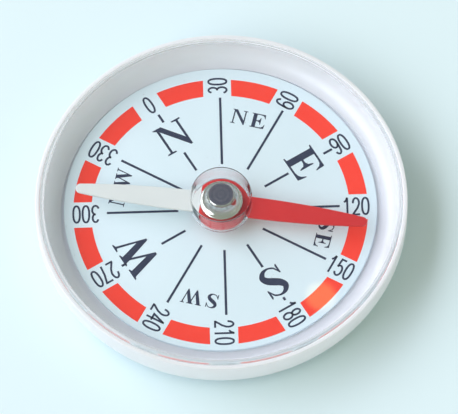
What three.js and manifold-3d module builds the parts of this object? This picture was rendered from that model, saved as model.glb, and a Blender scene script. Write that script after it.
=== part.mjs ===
// Pocket magnetic compass: a white moulded case, a printed dial card, a steel pivot, a painted
// needle with a clear ring round a flared metal cap and its jewel, and a clear domed cover.
// Millimetres, +Z up, origin at the middle of the foot, +Y towards the 0 mark of the dial.
import * as THREE from "three";
import { mergeVertices } from "three/addons/utils/BufferGeometryUtils.js";
import Module from "manifold-3d";

const wasm = await Module();
wasm.setup();

// Case
const CASE_DIAMETER = 45;
const CASE_HEIGHT = 5.8;
const CASE_BOTTOM_ROUND = 3.3;
const FLOOR_THICKNESS = 1.4;
const FOOT_HEIGHT = 0.35;
const FOOT_WIDTH = 1.6;
const FOOT_BEVEL = 0.3;
const LIP_THICKNESS = 0.5;
const LIP_HEIGHT = 0.8;
const LIP_ROUND = 0.18;
const SEAT_WIDTH = 0.4;
const BOWL_ROUND = 2.35;
const RECESS_DEPTH = 0.3;
const BOSS_DIAMETER = 3;
const BOSS_HEIGHT = 0.85;

// Dial card
const DIAL_THICKNESS = 0.35;
const DIAL_CLEARANCE = 0.1;

// Pivot pin
const PIN_DIAMETER = 0.9;
const PIN_CLEARANCE = 0.05;
const PIN_SOCKET_DEPTH = 1.7;
const PIN_POINT_LENGTH = 1.2;
const PIN_POINT_DIAMETER = 0.12;

// Needle
const NEEDLE_LENGTH = 35.4;
const NEEDLE_WIDTH = 2.8;
const NEEDLE_TIP_WIDTH = 1.24;
const NEEDLE_SHOULDER = 6.2;
const NEEDLE_THICKNESS = 0.35;
const NEEDLE_ABOVE_DIAL = 1.95;
const NEEDLE_BEARING_DEG = 128.95;
const EYE_DIAMETER = 6.7;

// Clear collar round the eye and the cap
const COLLAR_WALL = 0.25;
const COLLAR_HEIGHT = 2.5;
const COLLAR_CLEARANCE = 0.1;

// Metal cap and the jewel in it
const CAP_TOP_DIAMETER = 3;
const CAP_TOP_BEVEL = 0.12;
const CAP_TOP_DEPTH = 0.1;
const CAP_DRUM_DIAMETER = 5.16;
const CAP_DRUM_HEIGHT = 0.87;
const CAP_RIM_BEVEL = 0.08;
const CAP_FLARE_SWEEP_DEG = 76;
const CAP_RIVET_WALL = 0.4;
const CAP_RIVET_LIP = 0.45;
const CAP_RIVET_THICKNESS = 0.3;
const CAP_ROOF = 0.9;
const JEWEL_DIAMETER = 1.8;
const JEWEL_HEIGHT = 1.2;
const JEWEL_CLEARANCE = 0.05;
const CUP_DIAMETER = 1.3;
const CUP_DEPTH = 0.8;
const POINT_CLEARANCE = 0.1;

// Domed cover
const COVER_THICKNESS = 1.2;
const COVER_HEADROOM = 0.4;
const COVER_EDGE_LAND = 0.05;
const COVER_CLEARANCE = 0.1;
const COVER_FLANGE_OVERLAP = 0.7;

// Facets
const ROUND_SEGMENTS = 64;
const SMALL_SEGMENTS = 40;
const ARC_STEPS = 3;
const DOME_STEPS = 4;
const EDGE_STEPS = 12;

// Heights and radii that follow from the sizes above
const caseRadius = CASE_DIAMETER / 2;
const floorZ = FOOT_HEIGHT + FLOOR_THICKNESS;
const recessZ = floorZ + RECESS_DEPTH;
const seatZ = CASE_HEIGHT - LIP_HEIGHT;
const lipInner = caseRadius - LIP_THICKNESS;
const seatInner = lipInner - SEAT_WIDTH;
const recessRadius = seatInner - BOWL_ROUND;
const bossTopZ = floorZ + BOSS_HEIGHT;
const dialTopZ = floorZ + DIAL_THICKNESS;
const needleZ = dialTopZ + NEEDLE_ABOVE_DIAL;
const needleTopZ = needleZ + NEEDLE_THICKNESS;
const hubTopZ = needleTopZ + COLLAR_HEIGHT;
const coverRise = hubTopZ + COVER_HEADROOM - seatZ;
const jewelTopZ = hubTopZ - CAP_ROOF;
const jewelBottomZ = jewelTopZ - JEWEL_HEIGHT;
const pinTipZ = jewelBottomZ + CUP_DEPTH - POINT_CLEARANCE;
const capBore = JEWEL_DIAMETER / 2 + JEWEL_CLEARANCE;
const rivetRadius = capBore + CAP_RIVET_WALL;

const plastic = (color, roughness) =>
  new THREE.MeshStandardMaterial({ color, roughness, metalness: 0 });
const metal = (color, roughness) =>
  new THREE.MeshStandardMaterial({ color, roughness, metalness: 1 });
const clearPlastic = () =>
  new THREE.MeshStandardMaterial({
    color: "#eef6f8",
    roughness: 0.05,
    metalness: 0,
    transparent: true,
    opacity: 0.25,
  });

// A profile in radius and height, turned round the Z axis.
function revolve(profile, arcSteps, segments) {
  const geometry = new THREE.LatheGeometry(profile.getPoints(arcSteps), segments);
  return geometry.rotateX(Math.PI / 2);
}

// A flat outline raised from one height to another.
function raise(outline, fromZ, toZ, curveSegments) {
  const geometry = new THREE.ExtrudeGeometry(outline, {
    depth: toZ - fromZ,
    bevelEnabled: false,
    curveSegments,
  });
  return geometry.translate(0, 0, fromZ);
}

// A closed geometry as a solid that can be cut.
function solidOf(geometry) {
  const bare = geometry.clone().deleteAttribute("normal").deleteAttribute("uv");
  const merged = mergeVertices(bare, 1e-4);
  return new wasm.Manifold(
    new wasm.Mesh({
      numProp: 3,
      vertProperties: merged.attributes.position.array,
      triVerts: new Uint32Array(merged.index.array),
    }),
  );
}

function geometryOf(solid) {
  const { vertProperties, triVerts } = solid.getMesh();
  const geometry = new THREE.BufferGeometry();
  geometry.setAttribute("position", new THREE.BufferAttribute(vertProperties, 3));
  geometry.setIndex(new THREE.BufferAttribute(triVerts, 1));
  geometry.computeVertexNormals();
  return geometry;
}

function addMesh(group, name, geometry, material) {
  const mesh = new THREE.Mesh(geometry, material);
  mesh.name = name;
  group.add(mesh);
}

// The case: a shallow pan on a foot ring. Inside, a bowl curves down from the cover's seat and lip
// to a recess for the dial, and a boss in the middle holds the pivot.
function caseBase() {
  const footOuter = caseRadius - CASE_BOTTOM_ROUND;
  const footInner = footOuter - FOOT_WIDTH;
  const socketRadius = PIN_DIAMETER / 2 + PIN_CLEARANCE;
  const socketZ = bossTopZ - PIN_SOCKET_DEPTH;
  const profile = new THREE.Path();
  profile.moveTo(0, FOOT_HEIGHT);
  profile.lineTo(footInner - FOOT_BEVEL, FOOT_HEIGHT);
  profile.lineTo(footInner, 0);
  profile.lineTo(footOuter, 0);
  profile.absarc(footOuter, CASE_BOTTOM_ROUND, CASE_BOTTOM_ROUND, -Math.PI / 2, 0);
  profile.lineTo(caseRadius, CASE_HEIGHT - LIP_ROUND);
  profile.absarc(caseRadius - LIP_ROUND, CASE_HEIGHT - LIP_ROUND, LIP_ROUND, 0, Math.PI / 2);
  profile.lineTo(lipInner + LIP_ROUND, CASE_HEIGHT);
  profile.absarc(lipInner + LIP_ROUND, CASE_HEIGHT - LIP_ROUND, LIP_ROUND, Math.PI / 2, Math.PI);
  profile.lineTo(lipInner, seatZ);
  profile.lineTo(seatInner, seatZ);
  profile.absarc(recessRadius, recessZ + BOWL_ROUND, BOWL_ROUND, 0, -Math.PI / 2, true);
  profile.lineTo(recessRadius, floorZ);
  profile.lineTo(BOSS_DIAMETER / 2, floorZ);
  profile.lineTo(BOSS_DIAMETER / 2, bossTopZ);
  profile.lineTo(socketRadius, bossTopZ);
  profile.lineTo(socketRadius, socketZ);
  profile.lineTo(0, socketZ);
  return revolve(profile, ARC_STEPS, ROUND_SEGMENTS);
}

// The dial: a plain card disc in the recess of the case, with a hole for the boss.
function dialCard() {
  const outer = recessRadius - DIAL_CLEARANCE;
  const inner = BOSS_DIAMETER / 2 + DIAL_CLEARANCE;
  const profile = new THREE.Path();
  profile.moveTo(inner, floorZ);
  profile.lineTo(outer, floorZ);
  profile.lineTo(outer, dialTopZ);
  profile.lineTo(inner, dialTopZ);
  profile.lineTo(inner, floorZ);
  return revolve(profile, 1, ROUND_SEGMENTS);
}

// The pivot: a steel pin pressed in the boss, ground to a point that carries the jewel.
function pivotPin() {
  const radius = PIN_DIAMETER / 2;
  const profile = new THREE.Path();
  profile.moveTo(0, bossTopZ - PIN_SOCKET_DEPTH);
  profile.lineTo(radius, bossTopZ - PIN_SOCKET_DEPTH);
  profile.lineTo(radius, pinTipZ - PIN_POINT_LENGTH);
  profile.lineTo(PIN_POINT_DIAMETER / 2, pinTipZ);
  profile.lineTo(0, pinTipZ);
  return revolve(profile, 1, SMALL_SEGMENTS);
}

// The cover: a dome of even thickness with a flat flange that drops into the lip of the case. Its
// edge rises a little and then rounds over into the dome, along the circle that touches both.
function coverLens() {
  const outer = lipInner - COVER_CLEARANCE;
  const flangeInner = seatInner - COVER_FLANGE_OVERLAP;
  const undersideRadius = (flangeInner ** 2 + coverRise ** 2) / (2 * coverRise);
  const domeRadius = undersideRadius + COVER_THICKNESS;
  const centreZ = seatZ + coverRise - undersideRadius;
  const landZ = seatZ + COVER_EDGE_LAND;
  const landRise = landZ - centreZ;
  const edgeRound = (domeRadius ** 2 - outer ** 2 - landRise ** 2) / (2 * (domeRadius - outer));
  const undersideAngle = Math.acos(flangeInner / undersideRadius);
  const domeAngle = Math.atan2(landRise, outer - edgeRound);
  const profile = new THREE.Path();
  profile.absarc(0, centreZ, undersideRadius, Math.PI / 2, undersideAngle, true);
  profile.lineTo(outer, seatZ);
  profile.lineTo(outer, landZ);
  profile.absarc(outer - edgeRound, landZ, edgeRound, 0, domeAngle);
  profile.absarc(0, centreZ, domeRadius, domeAngle, Math.PI / 2);
  return revolve(profile, DOME_STEPS, ROUND_SEGMENTS);
}

// The needle: one steel strip with two long tapering arms and a round eye for the cap.
function needleBlade() {
  const half = NEEDLE_WIDTH / 2;
  const tip = NEEDLE_TIP_WIDTH / 2;
  const eye = EYE_DIAMETER / 2;
  const tipX = NEEDLE_LENGTH / 2 - tip;
  const rootX = Math.sqrt(eye ** 2 - half ** 2);
  const shoulderX = tipX - NEEDLE_SHOULDER;
  const rootAngle = Math.asin(half / eye);
  const outline = new THREE.Shape();
  outline.moveTo(rootX, -half);
  outline.quadraticCurveTo(shoulderX, -half, tipX, -tip);
  outline.absarc(tipX, 0, tip, -Math.PI / 2, Math.PI / 2);
  outline.quadraticCurveTo(shoulderX, half, rootX, half);
  outline.absarc(0, 0, eye, rootAngle, Math.PI - rootAngle);
  outline.quadraticCurveTo(-shoulderX, half, -tipX, tip);
  outline.absarc(-tipX, 0, tip, Math.PI / 2, (3 * Math.PI) / 2);
  outline.quadraticCurveTo(-shoulderX, -half, -rootX, -half);
  outline.absarc(0, 0, eye, Math.PI + rootAngle, 2 * Math.PI - rootAngle);
  const hole = new THREE.Path();
  hole.absarc(0, 0, rivetRadius + PIN_CLEARANCE, 0, 2 * Math.PI, true);
  outline.holes.push(hole);
  return raise(outline, needleZ, needleTopZ, EDGE_STEPS);
}

// The clear collar: a thin round wall about the eye of the needle, with a rounded top edge and two
// slots below that fit over the arms.
function hubCollar() {
  const bore = EYE_DIAMETER / 2 + COLLAR_CLEARANCE;
  const outer = bore + COLLAR_WALL;
  const topRound = COLLAR_WALL / 2;
  const profile = new THREE.Path();
  profile.moveTo(bore, needleZ);
  profile.lineTo(outer, needleZ);
  profile.lineTo(outer, hubTopZ - topRound);
  profile.absarc(bore + topRound, hubTopZ - topRound, topRound, 0, Math.PI);
  profile.lineTo(bore, needleZ);
  const wall = solidOf(revolve(profile, ARC_STEPS, SMALL_SEGMENTS));
  const slotTopZ = needleTopZ + COLLAR_CLEARANCE;
  const slotWidth = NEEDLE_WIDTH + 2 * COLLAR_CLEARANCE;
  const slotDepth = 2 * (slotTopZ - needleZ);
  const slot = new THREE.BoxGeometry(4 * outer, slotWidth, slotDepth);
  slot.translate(0, 0, slotTopZ - slotDepth / 2);
  return geometryOf(wall.subtract(solidOf(slot)));
}

// The cap: a turned metal trumpet on the eye. A quarter of an ellipse flares from the flat top to
// the rim of a drum, a rivet below holds the needle, and a bore from below takes the jewel.
function bearingCap() {
  const lipRadius = rivetRadius + CAP_RIVET_LIP;
  const lipZ = needleZ - CAP_RIVET_THICKNESS;
  const topRadius = CAP_TOP_DIAMETER / 2;
  const neck = topRadius + CAP_TOP_BEVEL;
  const neckZ = hubTopZ - CAP_TOP_DEPTH;
  const drum = CAP_DRUM_DIAMETER / 2;
  const drumTopZ = needleTopZ + CAP_DRUM_HEIGHT;
  const sweep = THREE.MathUtils.degToRad(CAP_FLARE_SWEEP_DEG);
  const flareWidth = (drum - CAP_RIM_BEVEL - neck) / (1 - Math.cos(sweep));
  const flareHeight = (neckZ - drumTopZ - CAP_RIM_BEVEL) / Math.sin(sweep);
  const profile = new THREE.Path();
  profile.moveTo(0, jewelTopZ);
  profile.lineTo(capBore, jewelTopZ);
  profile.lineTo(capBore, lipZ);
  profile.lineTo(lipRadius, lipZ);
  profile.lineTo(lipRadius, needleZ);
  profile.lineTo(rivetRadius, needleZ);
  profile.lineTo(rivetRadius, needleTopZ);
  profile.lineTo(drum, needleTopZ);
  profile.lineTo(drum, drumTopZ);
  profile.absellipse(neck + flareWidth, neckZ, flareWidth, flareHeight, Math.PI + sweep, Math.PI, true);
  profile.lineTo(topRadius, hubTopZ);
  profile.lineTo(0, hubTopZ);
  return revolve(profile, ARC_STEPS, SMALL_SEGMENTS);
}

// The jewel: a short cylinder in the cap with a conical cup for the point of the pivot.
function bearingJewel() {
  const profile = new THREE.Path();
  profile.moveTo(0, jewelBottomZ + CUP_DEPTH);
  profile.lineTo(CUP_DIAMETER / 2, jewelBottomZ);
  profile.lineTo(JEWEL_DIAMETER / 2, jewelBottomZ);
  profile.lineTo(JEWEL_DIAMETER / 2, jewelTopZ);
  profile.lineTo(0, jewelTopZ);
  return revolve(profile, 1, SMALL_SEGMENTS);
}

const compass = new THREE.Group();
addMesh(compass, "case_base", caseBase(), plastic("#e6eef2", 0.35));
addMesh(compass, "dial_card", dialCard(), plastic("#dcebf0", 0.6));
addMesh(compass, "pivot_pin", pivotPin(), metal("#b9bec2", 0.25));
addMesh(compass, "cover_lens", coverLens(), clearPlastic());

const needle = new THREE.Group();
needle.rotation.z = THREE.MathUtils.degToRad(90 - NEEDLE_BEARING_DEG);
addMesh(needle, "needle_blade", needleBlade(), plastic("#d94945", 0.45));
addMesh(needle, "hub_collar", hubCollar(), clearPlastic());
addMesh(needle, "bearing_cap", bearingCap(), metal("#c9ced0", 0.15));
addMesh(needle, "bearing_jewel", bearingJewel(), plastic("#7a2b3a", 0.1));
compass.add(needle);

export default compass;
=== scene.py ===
# %% [markdown]
# # A pocket magnetic compass
# A white moulded case holds a printed card. A painted needle turns on a steel point under a clear
# domed cover. Every piece here is a surface worked out with numpy and put where the CAD frame
# says, so the looks and the solids share one place, in metres, with +Y towards the dial's 0.

# %% The frame
import math

import bmesh
import bpy
import numpy as np
from mathutils import Matrix, Vector


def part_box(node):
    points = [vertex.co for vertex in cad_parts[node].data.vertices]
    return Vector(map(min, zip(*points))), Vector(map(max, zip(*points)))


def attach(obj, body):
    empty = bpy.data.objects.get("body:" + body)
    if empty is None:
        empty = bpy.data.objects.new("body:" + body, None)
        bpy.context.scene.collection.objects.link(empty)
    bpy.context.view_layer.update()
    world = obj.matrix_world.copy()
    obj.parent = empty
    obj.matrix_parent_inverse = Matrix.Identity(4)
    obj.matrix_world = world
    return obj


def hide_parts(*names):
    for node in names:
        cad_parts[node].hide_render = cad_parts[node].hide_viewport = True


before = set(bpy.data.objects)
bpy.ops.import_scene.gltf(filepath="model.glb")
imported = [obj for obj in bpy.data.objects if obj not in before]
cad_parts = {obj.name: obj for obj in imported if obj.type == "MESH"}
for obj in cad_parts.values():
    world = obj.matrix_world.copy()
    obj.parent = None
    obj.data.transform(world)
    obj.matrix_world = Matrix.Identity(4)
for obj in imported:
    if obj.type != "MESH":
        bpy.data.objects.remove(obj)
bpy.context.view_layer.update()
scene = bpy.context.scene
scene.view_settings.view_transform = "Standard"
MM = 0.001
CASE_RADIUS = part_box("case_base")[1].x / MM
CASE_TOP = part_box("case_base")[1].z / MM
COVER_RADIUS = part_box("cover_lens")[1].x / MM
COVER_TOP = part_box("cover_lens")[1].z / MM
DIAL_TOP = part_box("dial_card")[1].z / MM
CARD_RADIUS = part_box("dial_card")[1].x / MM
CARD_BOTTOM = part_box("dial_card")[0].z / MM
print(f"case {2 * CASE_RADIUS:.2f} mm wide, cover up to {COVER_TOP:.2f} mm, card at {DIAL_TOP:.2f} mm")

# %% [markdown]
# ## Camera
# The long lens and the view angle come from the printed ring, which is a true circle: its ellipse
# gives the tilt, and the spacing of the bearings gives the turn. The picture is 458 by 414. The
# camera could be aimed with a constraint, but three axes in a matrix say exactly what it sees.

# %% Camera
VIEW_AZIMUTH = math.radians(-29.80)
VIEW_ELEVATION = math.radians(63.78)
VIEW_ROLL = math.radians(-1.888)
VIEW_DISTANCE = 812.1
VIEW_TARGET = np.array([1.10, 0.09, 2.54])
LENS_LENGTH = 526.6

view_back = np.array([
    math.sin(VIEW_AZIMUTH) * math.cos(VIEW_ELEVATION),
    -math.cos(VIEW_AZIMUTH) * math.cos(VIEW_ELEVATION),
    math.sin(VIEW_ELEVATION),
])
level_right = np.array([math.cos(VIEW_AZIMUTH), math.sin(VIEW_AZIMUTH), 0.0])
level_up = np.cross(view_back, level_right)
view_right = math.cos(VIEW_ROLL) * level_right + math.sin(VIEW_ROLL) * level_up
view_up = np.cross(view_back, view_right)
camera_place = (VIEW_TARGET + VIEW_DISTANCE * view_back) * MM
camera_matrix = np.eye(4)
camera_matrix[:3, :] = np.column_stack((view_right, view_up, view_back, camera_place))
camera = bpy.data.objects.new("camera", bpy.data.cameras.new("camera"))
camera.data.lens = LENS_LENGTH
camera.matrix_world = Matrix(camera_matrix.tolist())
scene.collection.objects.link(camera)
scene.camera = camera
print("camera stands at", np.round(camera_place, 4))

# %% [markdown]
# ## Tools for finishes
# A finish is a small tree of shader nodes. Colours are written as sRGB hex, as they are read off a
# screen, and turned to the linear values that a shader works in. Pattern sizes are in millimetres.

# %% Tools for finishes
def linear(code):
    """sRGB hex to linear: c / 12.92 in the darkest part, else ((c + 0.055) / 1.055) to the 2.4."""
    srgb = np.array([int(code[i:i + 2], 16) for i in (1, 3, 5)]) / 255
    low = srgb / 12.92
    high = ((srgb + 0.055) / 1.055) ** 2.4
    return (*np.where(srgb <= 0.04045, low, high), 1.0)


def per_metre(size_mm):
    """How many features of this size fit in a metre, which is what a texture's scale asks."""
    return 1 / (size_mm * MM)


def new_finish(name):
    """A material with an empty node tree."""
    finish = bpy.data.materials.new(name)
    finish.use_nodes = True
    finish.node_tree.nodes.clear()
    return finish


def add_node(owner, kind, sockets=None, **settings):
    """Adds one node: settings go on the node, and each socket gets a value or a link."""
    tree = owner.node_tree
    node = tree.nodes.new(kind)
    for key, value in settings.items():
        setattr(node, key, value)
    for key, value in (sockets or {}).items():
        if isinstance(value, bpy.types.NodeSocket):
            tree.links.new(value, node.inputs[key])
        else:
            node.inputs[key].default_value = value
    return node


MIX_FACTOR, MIX_A, MIX_B, MIX_RESULT = 0, 6, 7, 2


def drifting_colour(owner, place, size_mm, detail, first, second):
    """Noise with features of this size mixes two hex colours; gives the mixed one."""
    noise = add_node(owner, "ShaderNodeTexNoise",
                     {"Vector": place, "Scale": per_metre(size_mm), "Detail": detail})
    mixed = add_node(owner, "ShaderNodeMix", {
        MIX_FACTOR: noise.outputs["Fac"], MIX_A: linear(first), MIX_B: linear(second),
    }, data_type="RGBA")
    return mixed.outputs[MIX_RESULT]


print("white paint in linear values:", np.round(linear("#e6eef2"), 3))

# %% [markdown]
# ## Tools for shapes
# Most pieces of a compass are turned or moulded round, so one function carries a profile round the
# Z axis. A Screw modifier would do the same, but an array keeps every ring in plain sight. The rest
# are grids as well: a loop carried along an outline, or a flat outline raised.

# %% Tools for shapes
WELD_DISTANCE = 2e-7
SHARP_ANGLE = math.radians(32)


def arc(centre, radius, start_deg, end_deg, steps):
    """Points on a circle: the centre plus the radius times cosine and sine of even angles."""
    angles = np.radians(np.linspace(start_deg, end_deg, steps + 1))
    return np.asarray(centre) + radius * np.column_stack((np.cos(angles), np.sin(angles)))


def grid_faces(rows, columns, close_rows, close_columns):
    """Quads of a grid: a corner's number is its row times the columns plus its column."""
    row = np.arange(rows if close_rows else rows - 1)[:, None]
    column = np.arange(columns if close_columns else columns - 1)[None, :]
    row_after = (row + 1) % rows
    column_after = (column + 1) % columns
    corners = (
        row * columns + column,
        row * columns + column_after,
        row_after * columns + column_after,
        row_after * columns + column,
    )
    return np.stack(np.broadcast_arrays(*corners), axis=-1).reshape(-1, 4)


def make_piece(name, points_mm, faces, finish):
    """Puts points and faces in a mesh, welds seams and poles, and turns the faces outwards."""
    mesh = bpy.data.meshes.new(name)
    mesh.from_pydata((np.reshape(points_mm, (-1, 3)) * MM).tolist(), [], faces)
    shell = bmesh.new()
    shell.from_mesh(mesh)
    bmesh.ops.remove_doubles(shell, verts=shell.verts, dist=WELD_DISTANCE)
    bmesh.ops.recalc_face_normals(shell, faces=shell.faces)
    shell.to_mesh(mesh)
    shell.free()
    mesh.polygons.foreach_set("use_smooth", np.ones(len(mesh.polygons), dtype=bool))
    mesh.set_sharp_from_angle(angle=SHARP_ANGLE)
    mesh.materials.append(finish)
    piece = bpy.data.objects.new(name, mesh)
    scene.collection.objects.link(piece)
    return piece


def turned(name, profile, turns, finish, middle=(0.0, 0.0)):
    """Carries a profile round an upright axis at middle: (r cos t, r sin t, z) at even angles t."""
    angles = np.linspace(0, 2 * np.pi, turns, endpoint=False)
    radius, height = profile[:, :1], profile[:, 1:]
    x = middle[0] + radius * np.cos(angles)
    y = middle[1] + radius * np.sin(angles)
    z = np.broadcast_to(height, x.shape)
    points = np.stack((x, y, z), axis=-1)
    faces = grid_faces(len(profile), turns, False, True).tolist()
    return make_piece(name, points, faces, finish)


def settle(piece, body, slot, *nodes):
    """Says which body the piece rides on and which solids it stands for; slot is not used."""
    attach(piece, body)
    if nodes:
        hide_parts(*nodes)
    print(piece.name, "has", len(piece.data.polygons), "faces and rides on", body)


print("a quarter arc of two steps:", np.round(arc((0, 0), 1, 0, 90, 2), 3).tolist())

# %% [markdown]
# ## White plastic of the case
# The case is injection-moulded polystyrene: milky white, satin where it was never rubbed, and a
# little glossier where it was. A soft cloudiness and a fine moulded grain keep it from looking flat,
# and some scattering under the surface takes the hardness off its shadows.

# %% White plastic
CLOUD_SIZE = 7.0
MOULD_GRAIN = 0.35
HANDLING_MARKS = 2.2

white_polystyrene = new_finish("white_polystyrene_moulded")
spot = add_node(white_polystyrene, "ShaderNodeTexCoord").outputs["Object"]
tint = drifting_colour(white_polystyrene, spot, CLOUD_SIZE, 3.0, "#e0e3ed", "#e8ebf3")
marks = add_node(white_polystyrene, "ShaderNodeTexNoise",
                 {"Vector": spot, "Scale": per_metre(HANDLING_MARKS), "Detail": 5.0})
satin = add_node(white_polystyrene, "ShaderNodeMapRange",
                 {"Value": marks.outputs["Fac"], "To Min": 0.24, "To Max": 0.42})
grain = add_node(white_polystyrene, "ShaderNodeTexNoise",
                 {"Vector": spot, "Scale": per_metre(MOULD_GRAIN), "Detail": 2.0})
relief = add_node(white_polystyrene, "ShaderNodeBump",
                  {"Height": grain.outputs["Fac"], "Strength": 0.06, "Distance": 0.02 * MM})
surface = add_node(white_polystyrene, "ShaderNodeBsdfPrincipled", {
    "Base Color": tint,
    "Roughness": satin.outputs["Result"],
    "Normal": relief.outputs["Normal"],
    "IOR": 1.59,
    "Subsurface Weight": 0.4,
    "Subsurface Radius": (1.0, 1.0, 1.0),
    "Subsurface Scale": 6.0 * MM,
})
add_node(white_polystyrene, "ShaderNodeOutputMaterial", {"Surface": surface.outputs["BSDF"]})
print("white plastic has", len(white_polystyrene.node_tree.nodes), "nodes")

# %% [markdown]
# ## The case
# One moulding: a foot ring to stand on, a belly that rounds up to a straight side, and a thin lip
# round the cover. Inside, a seat carries the cover, a bowl curves down to a recess for the card,
# and a boss holds the pivot. It could be cut from a cylinder, but then each wall would be a step of
# its own. Here all of it is one profile, carried round the axis.

# %% The case
CASE_TURNS = 256
BELLY_ROUND = 3.3
BELLY_STEPS = 16
FOOT_RISE = 0.35
FOOT_WIDTH = 1.6
FOOT_BEVEL = 0.3
FOOT_OUTER = CASE_RADIUS - BELLY_ROUND
FOOT_INNER = FOOT_OUTER - FOOT_WIDTH
LIP_ROUND = 0.1
LIP_STEPS = 6
SEAT_DEPTH = 0.8
SEAT_HEIGHT = CASE_TOP - SEAT_DEPTH
SEAT_WALL = 0.9
SEAT_INNER = CASE_RADIUS - SEAT_WALL
CEMENT = 0.01
COVER_REACH = 0.1
LENS_RADIUS = COVER_RADIUS + COVER_REACH
LIP_INNER = LENS_RADIUS - CEMENT
SEAT_TOP = SEAT_HEIGHT + CEMENT
RECESS_ROOM = 0.3
RECESS_RADIUS = CARD_RADIUS + RECESS_ROOM
CARD_PROUD = 0.04
RECESS_TOP = DIAL_TOP - CARD_PROUD
BOWL_ROUND = SEAT_INNER - RECESS_RADIUS
BOWL_STEPS = 20
BOSS_RADIUS = 1.5
BOSS_TOP = 2.6
SOCKET_RADIUS = 0.5
SOCKET_BOTTOM = 0.9

case_profile = np.vstack((
    [(0, FOOT_RISE), (FOOT_INNER - FOOT_BEVEL, FOOT_RISE), (FOOT_INNER, 0)],
    arc((FOOT_OUTER, BELLY_ROUND), BELLY_ROUND, -90, 0, BELLY_STEPS),
    arc((CASE_RADIUS - LIP_ROUND, CASE_TOP - LIP_ROUND), LIP_ROUND, 0, 90, LIP_STEPS),
    arc((LIP_INNER + LIP_ROUND, CASE_TOP - LIP_ROUND), LIP_ROUND, 90, 180, LIP_STEPS),
    [(LIP_INNER, SEAT_TOP), (SEAT_INNER, SEAT_TOP)],
    arc((RECESS_RADIUS, RECESS_TOP + BOWL_ROUND), BOWL_ROUND, 0, -90, BOWL_STEPS),
    [(RECESS_RADIUS, CARD_BOTTOM), (BOSS_RADIUS, CARD_BOTTOM), (BOSS_RADIUS, BOSS_TOP)],
    [(SOCKET_RADIUS, BOSS_TOP), (SOCKET_RADIUS, SOCKET_BOTTOM), (0, SOCKET_BOTTOM)],
))
case_pan = turned("case_pan", case_profile, CASE_TURNS, white_polystyrene)
settle(case_pan, "case", "white_plastic", "case_base")

# %% [markdown]
# ## Printed card
# The dial is a white card. Paper is never quite even, so its white drifts a little, its fibres give
# a very fine relief, and a few specks of dust lie on it.

# %% Card finish
CARD_CLOUD = 5.0
FIBRE_SIZE = 0.18
SPECK_SPACING = 1.3
SPECK_REACH = 0.045

card_white = new_finish("white_card_coated")
spot = add_node(card_white, "ShaderNodeTexCoord").outputs["Object"]
tint = drifting_colour(card_white, spot, CARD_CLOUD, 2.0, "#dceef6", "#e2f3fb")
dust = add_node(card_white, "ShaderNodeTexVoronoi",
                {"Vector": spot, "Scale": per_metre(SPECK_SPACING), "Randomness": 1.0})
speck = add_node(card_white, "ShaderNodeMath",
                 {0: dust.outputs["Distance"], 1: SPECK_REACH}, operation="LESS_THAN")
dusty = add_node(card_white, "ShaderNodeMix",
                 {MIX_FACTOR: speck.outputs["Value"], MIX_A: tint, MIX_B: linear("#b9c2c8")},
                 data_type="RGBA")
fibre = add_node(card_white, "ShaderNodeTexNoise",
                 {"Vector": spot, "Scale": per_metre(FIBRE_SIZE), "Detail": 4.0})
relief = add_node(card_white, "ShaderNodeBump",
                  {"Height": fibre.outputs["Fac"], "Strength": 0.15, "Distance": 0.01 * MM})
surface = add_node(card_white, "ShaderNodeBsdfPrincipled", {
    "Base Color": dusty.outputs[MIX_RESULT],
    "Roughness": 0.55,
    "Normal": relief.outputs["Normal"],
})
add_node(card_white, "ShaderNodeOutputMaterial", {"Surface": surface.outputs["BSDF"]})
print("card finish has", len(card_white.node_tree.nodes), "nodes")

# %% [markdown]
# ## The card
# A flat disc with a hole for the boss. It could be a plain cylinder, but a cut card has a slightly
# rounded edge, which catches the light against the wall. It was glued in by hand, half a millimetre
# towards the 0, and its print is not quite in its middle either.

# %% The card
CARD_EDGE_ROUND = 0.05
CARD_EDGE_STEPS = 4
CARD_HOLE = 2.0
CARD_PLACE = np.array([0.13, 0.50])
CARD_TRIM = 0.25
CARD_RIM = CARD_RADIUS - CARD_TRIM
card_profile = np.vstack((
    [(CARD_HOLE, CARD_BOTTOM), (CARD_RIM, CARD_BOTTOM)],
    arc((CARD_RIM - CARD_EDGE_ROUND, DIAL_TOP - CARD_EDGE_ROUND), CARD_EDGE_ROUND, 0, 90,
        CARD_EDGE_STEPS),
    [(CARD_HOLE, DIAL_TOP), (CARD_HOLE, CARD_BOTTOM)],
))
dial_sheet = turned("dial_sheet", card_profile, CASE_TURNS, card_white, CARD_PLACE)
settle(dial_sheet, "case", "dial_card", "dial_card")

# %% [markdown]
# ## Printing inks
# Two inks are on the card: a warm red for the ring and a blue-black for the words and lines. An ink
# film is uneven at the scale of the screen that printed it, so both drift slightly in colour.

# %% Printing inks
INK_DRIFT = 1.1
INK_GRAIN = 0.12


def printing_ink(name, thin, full, roughness):
    """An ink film: noise at the size of its drift mixes a thin and a full lay of the same colour."""
    ink = new_finish(name)
    place = add_node(ink, "ShaderNodeTexCoord").outputs["Object"]
    film = add_node(ink, "ShaderNodeTexNoise", {"Vector": place, "Scale": per_metre(INK_GRAIN)})
    bump = add_node(ink, "ShaderNodeBump",
                    {"Height": film.outputs["Fac"], "Strength": 0.1, "Distance": 0.005 * MM})
    body = add_node(ink, "ShaderNodeBsdfPrincipled", {
        "Base Color": drifting_colour(ink, place, INK_DRIFT, 4.0, thin, full),
        "Roughness": roughness,
        "Specular IOR Level": 0.2,
        "Normal": bump.outputs["Normal"],
    })
    add_node(ink, "ShaderNodeOutputMaterial", {"Surface": body.outputs["BSDF"]})
    return ink


red_ink = printing_ink("red_screen_ink", "#ff4c38", "#fd422e", roughness=0.45)
blue_black_ink = printing_ink("blue_black_ink", "#3a4256", "#2a3044", roughness=0.5)
print("inks:", red_ink.name, "and", blue_black_ink.name)

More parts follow.
